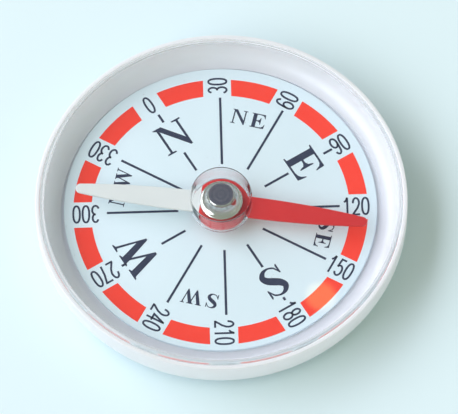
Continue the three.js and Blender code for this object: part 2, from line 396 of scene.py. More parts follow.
# %% [markdown]
# ## The red ring
# Twelve red bars lie between the bearings. Each gap has parallel sides, so a bar's ends are not
# radial: at a radius r its end is turned by the arc sine of half a gap over r. That makes a bar a
# grid in two parameters, along the arc and across it, raised by the thickness of the ink.

# %% The red ring
RING_OUTER = 17.79
RING_INNER = 15.60
RING_HALF_GAP = 1.70
RING_STEPS = 24
BAR_COUNT = 12
BAR_EDGES = 4
BAR_SPAN = 2 * math.pi / BAR_COUNT
INK_FILM = 0.015
INK_SUNK = 0.05
INK_TOP = DIAL_TOP + INK_FILM
INK_FOOT = DIAL_TOP - INK_SUNK
PRINT_PLACE = np.array([-0.04, 0.19])


def ring_bar(start):
    """Loop of four edges carried along the bar: inner foot, outer foot, outer top, inner top."""
    radius = np.array([RING_INNER, RING_OUTER, RING_OUTER, RING_INNER])[None, :]
    height = np.array([INK_FOOT, INK_FOOT, INK_TOP, INK_TOP])[None, :]
    share = np.linspace(0, 1, RING_STEPS)[:, None]
    end_turn = np.arcsin(RING_HALF_GAP / radius)
    bearing = start + end_turn + share * (BAR_SPAN - 2 * end_turn)
    x = radius * np.sin(bearing) + PRINT_PLACE[0]
    y = radius * np.cos(bearing) + PRINT_PLACE[1]
    return np.stack((x, y, np.broadcast_to(height, x.shape)), axis=-1).reshape(-1, 3)


bar_points = BAR_EDGES * RING_STEPS
last_corner = bar_points - BAR_EDGES
bar_faces = grid_faces(RING_STEPS, BAR_EDGES, False, True).tolist()
bar_faces += [[0, 1, 2, 3], [last_corner, last_corner + 3, last_corner + 2, last_corner + 1]]
bars = [ring_bar(number * BAR_SPAN) for number in range(BAR_COUNT)]
ring_faces = [
    [corner + number * bar_points for corner in face]
    for number in range(BAR_COUNT) for face in bar_faces
]
red_ring = make_piece("red_ring", np.vstack(bars), ring_faces, red_ink)
settle(red_ring, "case", "dial_card")

# %% [markdown]
# ## Letters and figures
# The figures are a narrow sans drawn with one pen, so each is a path with an even width. The
# letters are a bold serif with thick and thin strokes, so each is an outline. Both are written in
# shares of their height and then placed by bearing. A picture of the dial would be quicker, but it
# blurs close up, so the print is drawn.

# %% Strokes and outlines
OVAL_STEPS = 20
MITRE_LIMIT = -0.5


def oval(x, y, wide, high, start_deg, end_deg, steps=OVAL_STEPS):
    """Points on an ellipse: the centre plus half-sizes times cosine and sine of even angles."""
    angles = np.radians(np.linspace(start_deg, end_deg, steps + 1))
    return np.column_stack((x + wide * np.cos(angles), y + high * np.sin(angles)))


def smooth_path(knots, steps):
    """Catmull-Rom curve: each span is a cubic through two knots with slopes from their neighbours."""
    ends = np.vstack((2 * knots[0] - knots[1], knots, 2 * knots[-1] - knots[-2]))
    before, here, there, after = ends[:-3, None], ends[1:-2, None], ends[2:-1, None], ends[3:, None]
    t = np.linspace(0, 1, steps, endpoint=False)[None, :, None]
    curve = 0.5 * (
        2 * here + (there - before) * t
        + (2 * before - 5 * here + 4 * there - after) * t ** 2
        + (3 * here - before - 3 * there + after) * t ** 3
    )
    return np.vstack((curve.reshape(-1, knots.shape[1]), knots[-1:]))


def side_shift(path, closed):
    """Mitred sideways direction: the sum of both edge normals over one plus their dot product."""
    steps = np.diff(np.vstack((path, path[:1])) if closed else path, axis=0)
    steps = steps / np.linalg.norm(steps, axis=1, keepdims=True)
    normals = np.column_stack((-steps[:, 1], steps[:, 0]))
    if closed:
        first, second = np.roll(normals, 1, axis=0), normals
    else:
        first = np.vstack((normals[:1], normals))
        second = np.vstack((normals, normals[-1:]))
    dot = np.sum(first * second, axis=1, keepdims=True)
    return (first + second) / (1 + np.maximum(dot, MITRE_LIMIT))


def pen_stroke(path, width):
    """Outline of an open stroke: the path moved half a width to one side, then back on the other."""
    shift = side_shift(path, False) * np.reshape(width, (-1, 1)) / 2
    return np.vstack((path + shift, (path - shift)[::-1]))


def pen_ring(path, width):
    """Outer and inner loop of a closed stroke, each half a width from the path."""
    shift = side_shift(path, True) * width / 2
    return path + shift, path - shift


print("an oval of eight steps has", len(oval(0, 0, 1, 1, 0, 360, 8)), "points")

# %% [markdown]
# ## The ten figures
# Each figure is one or two strokes in a box of width and height one. Closed strokes are marked as
# loops, because their ink is a ring and not a filled outline.

# %% The ten figures
ZERO_STEPS = 36
ZERO_SQUARENESS = 0.85


def joined(*parts):
    """One path through all the given points."""
    return np.vstack([np.reshape(part, (-1, 2)) for part in parts])


def full_oval(x, y, wide, high):
    """A closed oval, squared a little by raising cosine and sine to a power below one."""
    angles = np.linspace(0, 2 * np.pi, ZERO_STEPS, endpoint=False)
    cosine, sine = np.cos(angles), np.sin(angles)
    return np.column_stack((
        x + wide * np.sign(cosine) * np.abs(cosine) ** ZERO_SQUARENESS,
        y + high * np.sign(sine) * np.abs(sine) ** ZERO_SQUARENESS,
    ))


six_neck = joined(oval(0.52, 0.70, 0.44, 0.30, 25, 165), [(0.03, 0.52), (0.0, 0.30)])
FIGURE_LOOPS = {
    "0": [full_oval(0.5, 0.5, 0.5, 0.5)],
    "6": [oval(0.5, 0.29, 0.5, 0.29, 0, 360)[:-1]],
    "8": [oval(0.5, 0.76, 0.42, 0.24, 0, 360)[:-1], oval(0.5, 0.26, 0.5, 0.26, 0, 360)[:-1]],
    "9": [1 - oval(0.5, 0.29, 0.5, 0.29, 0, 360)[:-1]],
}
FIGURE_STROKES = {
    "1": [joined([(0.12, 0.76), (0.40, 0.85), (0.60, 1.04)]), joined([(0.60, 1.04), (0.60, -0.04)])],
    "2": [joined(oval(0.5, 0.71, 0.46, 0.29, 185, -25), [(0.70, 0.38), (0.10, 0.06), (0.04, 0.0)]),
          joined([(-0.10, 0.0), (1.08, 0.0)])],
    "3": [oval(0.47, 0.755, 0.43, 0.245, 160, -85), oval(0.46, 0.265, 0.50, 0.265, 95, -160)],
    "4": [joined([(0.72, -0.04), (0.72, 1.03)]), joined([(0.72, 1.0), (0.0, 0.30), (1.08, 0.30)])],
    "5": [joined([(0.95, 1.0), (0.20, 1.0), (0.10, 0.50)]), oval(0.46, 0.31, 0.50, 0.31, 142, -155)],
    "6": [six_neck],
    "7": [joined([(-0.10, 1.0), (1.0, 1.0), (0.60, 0.50), (0.42, -0.04)])],
    "9": [1 - six_neck],
}
print("figures drawn:", "".join(sorted(set(FIGURE_LOOPS) | set(FIGURE_STROKES))))

# %% [markdown]
# ## The four letters
# N, E and W are straight-sided outlines with thin bracketed serifs. The S is a spine with a width
# that swells in the middle, closed by two wedges. Heights are one, and widths follow the type.

# %% The four letters
LETTER_N = np.array([
    (0.0, 1.0), (0.315, 1.0), (0.825, 0.31), (0.825, 0.94), (0.70, 0.955), (0.685, 1.0),
    (1.0, 1.0), (0.99, 0.955), (0.902, 0.94), (0.902, 0.0), (0.84, 0.0), (0.203, 0.86),
    (0.203, 0.06), (0.31, 0.045), (0.32, 0.0), (0.01, 0.0), (0.02, 0.045), (0.126, 0.06),
    (0.126, 0.92), (0.06, 0.955),
])
LETTER_E = np.array([
    (0.0, 1.0), (0.88, 1.0), (0.905, 0.70), (0.875, 0.70), (0.81, 0.85), (0.72, 0.915),
    (0.60, 0.935), (0.352, 0.935), (0.352, 0.535), (0.47, 0.54), (0.56, 0.59), (0.615, 0.74),
    (0.648, 0.74), (0.648, 0.26), (0.615, 0.26), (0.56, 0.41), (0.47, 0.46), (0.352, 0.465),
    (0.352, 0.065), (0.62, 0.065), (0.75, 0.095), (0.84, 0.17), (0.905, 0.31), (0.935, 0.31),
    (0.90, 0.0), (0.0, 0.0), (0.01, 0.04), (0.113, 0.065), (0.113, 0.935), (0.01, 0.96),
])
LETTER_W = np.array([
    (0.0, 1.0), (0.40, 1.0), (0.39, 0.96), (0.32, 0.93), (0.50, 0.31), (0.655, 0.80),
    (0.62, 0.93), (0.543, 0.96), (0.533, 1.0), (0.956, 1.0), (0.946, 0.96), (0.858, 0.93),
    (1.045, 0.33), (1.19, 0.93), (1.10, 0.96), (1.09, 1.0), (1.364, 1.0), (1.354, 0.96),
    (1.265, 0.93), (1.015, 0.0), (0.955, 0.0), (0.698, 0.713), (0.477, 0.0), (0.40, 0.0),
    (0.09, 0.93), (0.01, 0.96),
])
S_SPINE = np.array([
    (0.27, 0.30, 0.045), (0.19, 0.41, 0.055), (0.02, 0.468, 0.062), (-0.15, 0.415, 0.13),
    (-0.245, 0.265, 0.185), (-0.165, 0.115, 0.225), (0.0, 0.0, 0.245),
])
S_WEDGE = np.array([(0.285, 0.435), (0.31, 0.49), (0.345, 0.49), (0.345, 0.17), (0.315, 0.17)])
S_STEPS = 8
S_MIDDLE = (0.345, 0.5)
s_curve = smooth_path(np.vstack((S_SPINE, S_SPINE[-2::-1] * (-1, -1, 1))), S_STEPS)
s_sides = pen_stroke(s_curve[:, :2], s_curve[:, 2])
s_count = len(s_curve)
LETTER_S = np.vstack((S_WEDGE, s_sides[:s_count], -S_WEDGE, s_sides[s_count:]))
LETTER_S = LETTER_S + S_MIDDLE
LETTERS = {"N": LETTER_N, "E": LETTER_E, "S": LETTER_S, "W": LETTER_W}
print("outline points:", {letter: len(outline) for letter, outline in LETTERS.items()})

# %% [markdown]
# ## Setting the type
# Lengths on the dial are shares of the ring's outer radius. A letter stands with its head outwards.
# A bearing is written along its radius, read from the middle out. Lines run from the hub to the
# bearings. The words were printed in a second pass, so they sit a hair off the ring's centre.

# %% Setting the type
INK_LINE = 0.0165
PEN_WIDTH = 0.0135
FIGURE_HEIGHT = 0.137
FIGURE_WIDTH = 0.058
FIGURE_ADVANCE = 0.0635
FIGURE_END = 1.009
FIGURE_STEP = 30
ZERO_CORNER = np.array([-0.029, 0.872])
LETTERING_SHIFT = np.array([0.021, -0.001])
FIGURE_SHIFT = np.array([0.005, 0.003])
solids_2d = []
rings_2d = []


def bearing_axes(bearing):
    """Unit vectors outwards and clockwise at a bearing: (sin, cos) and (cos, -sin)."""
    angle = math.radians(bearing)
    outward = np.array([math.sin(angle), math.cos(angle)])
    clockwise = np.array([math.cos(angle), -math.sin(angle)])
    return outward, clockwise


def set_line(bearing, start, end):
    """A straight line of ink along a radius."""
    outward, clockwise = bearing_axes(bearing)
    half = clockwise * INK_LINE / 2
    near, far = outward * start, outward * end
    solids_2d.append(np.array([near - half, far - half, far + half, near + half]) + LETTERING_SHIFT)


def set_word(word, bearing, foot, height, middle, gap=0.0):
    """Letters side by side, heads outwards, centred a little off the bearing by middle."""
    outward, clockwise = bearing_axes(bearing)
    widths = [np.ptp(LETTERS[letter][:, 0]) * height for letter in word]
    start = middle - (sum(widths) + gap * (len(word) - 1)) / 2
    for letter, width in zip(word, widths):
        outline = LETTERS[letter] * height
        solids_2d.append((start + outline[:, :1]) * clockwise + (foot + outline[:, 1:]) * outward)
        start += width + gap


def set_figures(text, right, up, corner):
    """Figures side by side along right, from the lower left corner of the first one."""
    box = np.array([FIGURE_WIDTH - PEN_WIDTH, FIGURE_HEIGHT - PEN_WIDTH])
    axes = np.array([right, up])
    for place, figure in enumerate(text):
        start = corner + FIGURE_SHIFT + right * (place * FIGURE_ADVANCE)
        inset = PEN_WIDTH / 2
        for path in FIGURE_STROKES.get(figure, []):
            solids_2d.append(pen_stroke((path * box + inset), PEN_WIDTH) @ axes + start)
        for path in FIGURE_LOOPS.get(figure, []):
            outer, inner = pen_ring(path * box + inset, PEN_WIDTH)
            rings_2d.append((outer @ axes + start, inner @ axes + start))


for bearing in range(FIGURE_STEP, 360, FIGURE_STEP):
    outward, clockwise = bearing_axes(bearing)
    text = str(bearing)
    length = FIGURE_WIDTH + FIGURE_ADVANCE * (len(text) - 1)
    set_figures(text, outward, -clockwise, outward * (FIGURE_END - length) + clockwise * FIGURE_HEIGHT / 2)
set_figures("0", np.array([1.0, 0.0]), np.array([0.0, 1.0]), ZERO_CORNER)

# Where the lines start and end, by bearing
LONG_LINES = {30: (0.345, 0.852), 60: (0.345, 0.852)}
LONG_LINES.update({bearing: (0.305, 0.79) for bearing in (120, 150, 210, 240, 300, 330)})
SHORT_LINES = {0: (0.35, 0.51), 90: (0.33, 0.52), 180: (0.31, 0.51), 270: (0.30, 0.49)}
DASHES = {0: (0.78, 0.849), 90: (0.80, 0.868), 180: (0.775, 0.80), 270: (0.775, 0.805)}
for lines in (LONG_LINES, SHORT_LINES, DASHES):
    for bearing, (start, end) in lines.items():
        set_line(bearing, start, end)
# For each letter its foot, its height and how far its middle is off the bearing
BIG_LETTERS = {0: ("N", 0.540, 0.219, 0.023), 90: ("E", 0.566, 0.213, -0.0085)}
BIG_LETTERS.update({180: ("S", 0.532, 0.225, -0.0285), 270: ("W", 0.535, 0.225, 0.0135)})
for bearing, (letter, foot, height, middle) in BIG_LETTERS.items():
    set_word(letter, bearing, foot, height, middle)
# For each small word its foot and how far its middle is off the bearing
SMALL_HEIGHT = 0.108
SMALL_GAP = 0.028
SMALL_WORDS = {45: ("NE", 0.669, 0.021), 135: ("SE", 0.671, 0.010)}
SMALL_WORDS.update({225: ("SW", 0.616, -0.015), 315: ("NW", 0.648, 0.020)})
for bearing, (word, foot, middle) in SMALL_WORDS.items():
    set_word(word, bearing, foot, SMALL_HEIGHT, middle, SMALL_GAP)
print(len(solids_2d), "filled marks and", len(rings_2d), "looped marks")

# %% [markdown]
# ## The ink
# Every mark is raised by the same thin film. A filled mark is its outline twice, joined by a wall.
# A looped mark has four edges carried round its path. All of them become one printed piece.

# %% The ink
def raise_solid(outline):
    """Points of a raised outline, foot loop first, and its faces: two lids and a wall of quads."""
    count = len(outline)
    heights = np.repeat([INK_FOOT, INK_TOP], count)[:, None]
    points = np.hstack((np.vstack((outline, outline)), heights))
    lids = [list(range(count))[::-1], list(range(count, 2 * count))]
    return points, lids + grid_faces(2, count, False, True).tolist()


def raise_ring(loops):
    """Points and quads of a raised ring: outer foot, outer top, inner top and inner foot loops."""
    outer, inner = loops
    count = len(outer)
    flat = np.vstack((outer, outer, inner, inner))
    heights = np.repeat([INK_FOOT, INK_TOP, INK_TOP, INK_FOOT], count)[:, None]
    return np.hstack((flat, heights)), grid_faces(4, count, True, True).tolist()


def to_dial(flat):
    """Shares of the ring's radius to millimetres on the dial."""
    return flat * RING_OUTER + PRINT_PLACE


marks_made = [raise_solid(to_dial(outline)) for outline in solids_2d]
marks_made += [raise_ring((to_dial(outer), to_dial(inner))) for outer, inner in rings_2d]
first_numbers = np.cumsum([0] + [len(points) for points, _ in marks_made])
ink_faces = [
    [corner + first for corner in face]
    for (_, faces), first in zip(marks_made, first_numbers) for face in faces
]
ink_points = np.vstack([points for points, _ in marks_made])
dial_lettering = make_piece("dial_lettering", ink_points, ink_faces, blue_black_ink)
settle(dial_lettering, "case", "dial_card")

# %% [markdown]
# ## Metals
# The pivot is ground steel and the cap is turned brass with a polished nickel plate. Both are fully
# metallic. Turning leaves fine rings, so the roughness and the relief follow the distance from the
# axis, and the rings are drawn coarser than the real ones so that they show. A wave texture counts
# twenty radians for each unit of its scaled distance.

# %% Metals
TURNING_PITCH = 0.09
WAVE_RADIANS = 20


def turned_metal(name, code, smoothest, roughest, ring_relief):
    """Rings round the axis: a wave on the distance from Z drives the roughness and the relief."""
    metal = new_finish(name)
    place = add_node(metal, "ShaderNodeTexCoord").outputs["Object"]
    rings = add_node(metal, "ShaderNodeTexWave",
                     {"Vector": place, "Scale": per_metre(TURNING_PITCH) / WAVE_RADIANS,
                      "Distortion": 0.6, "Detail": 1.0},
                     wave_type="RINGS", rings_direction="Z")
    gloss = add_node(metal, "ShaderNodeMapRange",
                     {"Value": rings.outputs["Fac"], "To Min": smoothest, "To Max": roughest})
    bump = add_node(metal, "ShaderNodeBump",
                    {"Height": rings.outputs["Fac"], "Strength": ring_relief, "Distance": 0.004 * MM})
    body = add_node(metal, "ShaderNodeBsdfPrincipled", {
        "Base Color": linear(code),
        "Metallic": 1.0,
        "Roughness": gloss.outputs["Result"],
        "Normal": bump.outputs["Normal"],
    })
    add_node(metal, "ShaderNodeOutputMaterial", {"Surface": body.outputs["BSDF"]})
    return metal


polished_nickel = turned_metal("polished_nickel_plate", "#bcbeb9",
                               smoothest=0.10, roughest=0.18, ring_relief=0.05)
ground_steel = turned_metal("ground_steel", "#b9bcbe",
                            smoothest=0.22, roughest=0.34, ring_relief=0.2)
print("metals:", polished_nickel.name, "and", ground_steel.name)

# %% [markdown]
# ## The pivot
# A steel pin pressed in the boss and ground to a point that carries the whole needle. The very tip
# is rounded, because a needle-sharp point would wear at once.

# %% The pivot
SMALL_TURNS = 96
PIN_RADIUS = 0.45
PIN_SHOULDER = 4.3
PIN_TIP_RADIUS = 0.06
PIN_TAPER = 18
PIN_TIP_STEPS = 5
PIN_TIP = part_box("pivot_pin")[1].z / MM
pin_profile = np.vstack((
    [(0, SOCKET_BOTTOM), (PIN_RADIUS, SOCKET_BOTTOM), (PIN_RADIUS, PIN_SHOULDER)],
    arc((0, PIN_TIP - PIN_TIP_RADIUS), PIN_TIP_RADIUS, PIN_TAPER, 90, PIN_TIP_STEPS),
))
pivot_point = turned("pivot_point", pin_profile, SMALL_TURNS, ground_steel)
settle(pivot_point, "case", "pin_steel", "pivot_pin")

# %% [markdown]
# ## Needle enamel
# The strip is steel, painted red up to and over the eye, and white on the other arm. The border of
# the two enamels was drawn with a brush, so a little noise moves it. The pattern is turned with a
# Mapping node, so that its X runs along the needle.

# %% Needle enamel
NEEDLE_BEARING = 128.95
NEEDLE_TURN = math.radians(90 - NEEDLE_BEARING)
PAINT_BORDER = -2.45
BORDER_WOBBLE = 0.25
ENAMEL_RIPPLE = 1.6

needle_enamel = new_finish("two_tone_enamel_on_steel")
spot = add_node(needle_enamel, "ShaderNodeTexCoord").outputs["Object"]
along = add_node(needle_enamel, "ShaderNodeMapping",
                 {"Vector": spot, "Rotation": (0.0, 0.0, -NEEDLE_TURN)})
length = add_node(needle_enamel, "ShaderNodeSeparateXYZ", {"Vector": along.outputs["Vector"]})
ripple = add_node(needle_enamel, "ShaderNodeTexNoise",
                  {"Vector": spot, "Scale": per_metre(ENAMEL_RIPPLE), "Detail": 3.0})
edge = add_node(needle_enamel, "ShaderNodeMath",
                {0: ripple.outputs["Fac"], 1: BORDER_WOBBLE * MM, 2: length.outputs["X"]},
                operation="MULTIPLY_ADD")
is_red = add_node(needle_enamel, "ShaderNodeMath",
                  {0: edge.outputs["Value"], 1: PAINT_BORDER * MM}, operation="GREATER_THAN")
red_coat = add_node(needle_enamel, "ShaderNodeMix",
                    {MIX_FACTOR: ripple.outputs["Fac"], MIX_A: linear("#ce2824"),
                     MIX_B: linear("#d6302c")}, data_type="RGBA")
white_coat = add_node(needle_enamel, "ShaderNodeMix",
                      {MIX_FACTOR: ripple.outputs["Fac"], MIX_A: linear("#dde3e4"),
                       MIX_B: linear("#e6eaea")}, data_type="RGBA")
coat = add_node(needle_enamel, "ShaderNodeMix",
                {MIX_FACTOR: is_red.outputs["Value"], MIX_A: white_coat.outputs[MIX_RESULT],
                 MIX_B: red_coat.outputs[MIX_RESULT]}, data_type="RGBA")
relief = add_node(needle_enamel, "ShaderNodeBump",
                  {"Height": ripple.outputs["Fac"], "Strength": 0.12, "Distance": 0.02 * MM})
surface = add_node(needle_enamel, "ShaderNodeBsdfPrincipled", {
    "Base Color": coat.outputs[MIX_RESULT],
    "Roughness": 0.34,
    "Normal": relief.outputs["Normal"],
})
add_node(needle_enamel, "ShaderNodeOutputMaterial", {"Surface": surface.outputs["BSDF"]})
print("needle enamel has", len(needle_enamel.node_tree.nodes), "nodes")

# %% [markdown]
# ## The needle
# One strip with two tapering arms and a round eye. Its outline is a quarter of the shape, a curved
# arm edge and an arc of the eye, mirrored twice. Six loops are carried along that outline: the hole
# below, the rounded outer edge in four steps, and the hole above. Use has bent the red arm aside by
# about a degree.

# %% The needle
NEEDLE_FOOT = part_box("needle_blade")[0].z / MM
NEEDLE_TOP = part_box("needle_blade")[1].z / MM
NEEDLE_HALF = 17.7
ARM_HALF = 1.4
TIP_RADIUS = 0.62
ARM_SHOULDER = 6.2
ARM_STEPS = 28
TIP_STEPS = 10
EYE_RADIUS = 3.35
EYE_STEPS = 12
EYE_HOLE = 1.4
STRIP_BEVEL = 0.07
ARM_BEND = math.radians(1.1)

tip_centre = NEEDLE_HALF - TIP_RADIUS
eye_root = math.sqrt(EYE_RADIUS ** 2 - ARM_HALF ** 2)
root_angle = math.degrees(math.asin(ARM_HALF / EYE_RADIUS))


def arm_edge(steps):
    """Quadratic curve from the eye to the tip: (1-t)^2 root + 2t(1-t) shoulder + t^2 tip."""
    t = np.linspace(0, 1, steps)[:, None]
    root, tip = np.array([eye_root, ARM_HALF]), np.array([tip_centre, TIP_RADIUS])
    shoulder = np.array([tip_centre - ARM_SHOULDER, ARM_HALF])
    return (1 - t) ** 2 * root + 2 * t * (1 - t) * shoulder + t ** 2 * tip


quarter = np.vstack((
    arc((tip_centre, 0), TIP_RADIUS, 0, 90, TIP_STEPS)[:-1],
    arm_edge(ARM_STEPS)[::-1],
    arc((0, 0), EYE_RADIUS, root_angle, 90, EYE_STEPS)[1:],
))
upper = np.vstack((quarter, (quarter * (-1, 1))[-2::-1]))
needle_outline = np.vstack((upper, (upper * (1, -1))[-2:0:-1]))


def turn_needle(points):
    """Turns points about Z from the needle's own X to its bearing."""
    cosine, sine = math.cos(NEEDLE_TURN), math.sin(NEEDLE_TURN)
    return points @ np.array([[cosine, sine, 0], [-sine, cosine, 0], [0, 0, 1]])


hole_angles = np.arctan2(needle_outline[:, 1], needle_outline[:, 0] * EYE_RADIUS / NEEDLE_HALF)
hole_loop = EYE_HOLE * np.column_stack((np.cos(hole_angles), np.sin(hole_angles)))
inset_loop = needle_outline + side_shift(needle_outline, True) * STRIP_BEVEL
needle_loops = (
    (hole_loop, NEEDLE_FOOT), (inset_loop, NEEDLE_FOOT), (needle_outline, NEEDLE_FOOT + STRIP_BEVEL),
    (needle_outline, NEEDLE_TOP - STRIP_BEVEL), (inset_loop, NEEDLE_TOP), (hole_loop, NEEDLE_TOP),
)
needle_points = np.vstack([
    np.column_stack((loop, np.full(len(loop), height))) for loop, height in needle_loops
])
past_eye = np.clip(needle_points[:, 0] - EYE_RADIUS, 0, None)
needle_points[:, 1] -= math.tan(ARM_BEND) * past_eye
needle_faces = grid_faces(len(needle_loops), len(needle_outline), True, True).tolist()
needle_strip = make_piece("needle_strip", turn_needle(needle_points), needle_faces, needle_enamel)
settle(needle_strip, "needle", "needle_paint", "needle_blade")

# %% [markdown]
# ## Clear plastic
# The collar and the cover are clear polished plastic. A renderer gives clear things a dark shadow
# unless it traces the light bent in them, so lamps shine straight through them here. Faint rub marks
# vary the gloss, as on a part that lived in a pocket. The edge of the cover was never polished, so it
# is satin and a little milky.

# %% Clear plastic
RUB_MARKS = 3.0


def clear_plastic(name, code, index, clearness, roughest):
    """Transmission at the plastic's index, with noise at the size of rub marks in the gloss."""
    plastic = new_finish(name)
    place = add_node(plastic, "ShaderNodeTexCoord").outputs["Object"]
    rub = add_node(plastic, "ShaderNodeTexNoise",
                   {"Vector": place, "Scale": per_metre(RUB_MARKS), "Detail": 6.0})
    gloss = add_node(plastic, "ShaderNodeMapRange",
                     {"Value": rub.outputs["Fac"], "From Min": 0.45, "To Min": 0.0, "To Max": roughest})
    body = add_node(plastic, "ShaderNodeBsdfPrincipled", {
        "Base Color": linear(code),
        "Roughness": gloss.outputs["Result"],
        "IOR": index,
        "Transmission Weight": clearness,
    })
    add_node(plastic, "ShaderNodeOutputMaterial", {"Surface": body.outputs["BSDF"]})
    return plastic


def let_light_through(piece):
    """Lamps and bounced light pass a clear piece; the eye, mirrors and lenses still see it."""
    piece.visible_shadow = False
    piece.visible_diffuse = False


clear_collar = clear_plastic("clear_acetate_collar", "#fbfdfd",
                             index=1.36, clearness=1.0, roughest=0.03)
clear_cover = clear_plastic("clear_styrene_cover", "#fafdfe",
                            index=1.52, clearness=1.0, roughest=0.03)
satin_edge = clear_plastic("satin_styrene_edge", "#e6ecf0",
                           index=1.52, clearness=0.7, roughest=0.12)
print("clear plastics:", clear_collar.name, clear_cover.name, satin_edge.name)

# %% [markdown]
# ## The collar
# A thin clear ring stands round the eye. Its bore widens upwards, as a moulded bore does, so the top
# edge is fine. Two slots below fit over the arms. The profile is carried round in columns, and in
# the columns of a slot its lowest points are lifted above the strip. A point close under the
# rounding keeps the shading of the walls straight.

# %% The collar
COLLAR_FOOT = NEEDLE_FOOT
COLLAR_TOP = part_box("hub_collar")[1].z / MM
COLLAR_RADIUS = 3.7
COLLAR_BORE = 3.45
COLLAR_MOUTH = 3.59
COLLAR_ROUND = (COLLAR_RADIUS - COLLAR_MOUTH) / 2
COLLAR_STEPS = 12
SLOT_HALF = 1.5
SLOT_ROOM = 0.1
SLOT_TOP = NEEDLE_TOP + SLOT_ROOM
WALL_HOLD = 0.03
SLOT_COLUMNS = 12
WALL_COLUMNS = 36

wall_end = COLLAR_TOP - COLLAR_ROUND
collar_profile = np.vstack((
    [(COLLAR_BORE, COLLAR_FOOT), (COLLAR_RADIUS, COLLAR_FOOT), (COLLAR_RADIUS, wall_end - WALL_HOLD)],
    arc((COLLAR_MOUTH + COLLAR_ROUND, wall_end), COLLAR_ROUND, 0, 180, COLLAR_STEPS),
    [(COLLAR_MOUTH, wall_end - WALL_HOLD)],
))
slot_angle = math.asin(SLOT_HALF / COLLAR_RADIUS)
half_turn = np.concatenate((
    np.linspace(-slot_angle, slot_angle, SLOT_COLUMNS),
    np.linspace(slot_angle, np.pi - slot_angle, WALL_COLUMNS),
))
in_slot = np.tile(np.arange(SLOT_COLUMNS + WALL_COLUMNS) < SLOT_COLUMNS, 2)
collar_angles = np.concatenate((half_turn, half_turn + np.pi))
collar_x = collar_profile[:, :1] * np.cos(collar_angles)
collar_y = collar_profile[:, :1] * np.sin(collar_angles)
collar_z = np.where(in_slot, np.maximum(collar_profile[:, 1:], SLOT_TOP), collar_profile[:, 1:])
collar_points = np.stack((collar_x, collar_y, collar_z), axis=-1).reshape(-1, 3)
collar_faces = grid_faces(len(collar_profile), len(collar_angles), True, True).tolist()
collar_ring = make_piece("collar_ring", turn_needle(collar_points), collar_faces, clear_collar)
let_light_through(collar_ring)
settle(collar_ring, "needle", "clear_plastic", "hub_collar")

# %% [markdown]
# ## The cap
# A turned trumpet on the eye: a flat polished top with a fine bevel, a flare that follows part of an
# ellipse down to the rim of a drum, and a rivet below that holds the strip. It is bored from below
# for the jewel.

# %% The cap
CAP_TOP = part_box("bearing_cap")[1].z / MM
CAP_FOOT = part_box("bearing_cap")[0].z / MM
CAP_TOP_RADIUS = 1.5
CAP_NECK = 1.62
CAP_RADIUS = 2.5
TOP_BEVEL = 0.1
NECK_TOP = CAP_TOP - TOP_BEVEL
FLARE_FOOT = 5.35
FLARE_END = math.radians(76)
FLARE_POINTS = 25
RIM_ROUND = 0.08
CAP_BORE = 0.95
BORE_ROOF = 6.0
RIVET_RADIUS = 1.35
RIVET_LIP = 1.8
flare_turn = np.linspace(0, FLARE_END, FLARE_POINTS)
flare_wide = (CAP_RADIUS - CAP_NECK) / (1 - math.cos(FLARE_END))
flare_high = (NECK_TOP - FLARE_FOOT) / math.sin(FLARE_END)
flare_radius = CAP_NECK + flare_wide * (1 - np.cos(flare_turn))
flare_height = NECK_TOP - flare_high * np.sin(flare_turn)
cap_profile = np.vstack((
    [(0, BORE_ROOF), (CAP_BORE, BORE_ROOF), (CAP_BORE, CAP_FOOT), (RIVET_LIP, CAP_FOOT)],
    [(RIVET_LIP, NEEDLE_FOOT), (RIVET_RADIUS, NEEDLE_FOOT), (RIVET_RADIUS, NEEDLE_TOP)],
    [(CAP_RADIUS + RIM_ROUND, NEEDLE_TOP), (CAP_RADIUS + RIM_ROUND, FLARE_FOOT - RIM_ROUND)],
    np.column_stack((flare_radius, flare_height))[::-1],
    [(CAP_TOP_RADIUS, CAP_TOP), (0, CAP_TOP)],
))
cap_flare = turned("cap_flare", cap_profile, SMALL_TURNS, polished_nickel)
settle(cap_flare, "needle", "cap_metal", "bearing_cap")

# %% [markdown]
# ## The jewel
# A short cylinder of red glass pressed in the cap. Its conical cup runs on the point. Cap, eye and
# case hide it on the whole compass, but a reader who lifts the needle off finds it.

# %% The jewel
SWIRL_SIZE = 0.6
ruby_glass = new_finish("ruby_glass_polished")
spot = add_node(ruby_glass, "ShaderNodeTexCoord").outputs["Object"]
surface = add_node(ruby_glass, "ShaderNodeBsdfPrincipled", {
    "Base Color": drifting_colour(ruby_glass, spot, SWIRL_SIZE, 2.0, "#a8324a", "#c2485e"),
    "Roughness": 0.05,
    "IOR": 1.6,
    "Transmission Weight": 0.6,
})
add_node(ruby_glass, "ShaderNodeOutputMaterial", {"Surface": surface.outputs["BSDF"]})
JEWEL_RADIUS = 0.9
JEWEL_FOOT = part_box("bearing_jewel")[0].z / MM
JEWEL_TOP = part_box("bearing_jewel")[1].z / MM
CUP_RADIUS = 0.65
CUP_DEPTH = 0.8
jewel_profile = np.array([
    (0, JEWEL_FOOT + CUP_DEPTH), (CUP_RADIUS, JEWEL_FOOT), (JEWEL_RADIUS, JEWEL_FOOT),
    (JEWEL_RADIUS, JEWEL_TOP), (0, JEWEL_TOP),
])
jewel_cup = turned("jewel_cup", jewel_profile, SMALL_TURNS, ruby_glass)
settle(jewel_cup, "needle", "jewel_glass", "bearing_jewel")

# %% [markdown]
# ## The cover
# A dome of even thickness with a flat flange that drops into the lip. Its rounded edge is what
# bends the red ring into the thin lines that run round the near rim. The faces of that edge get the
# satin finish: they are those whose middle lies further out than the centre of the rounding.

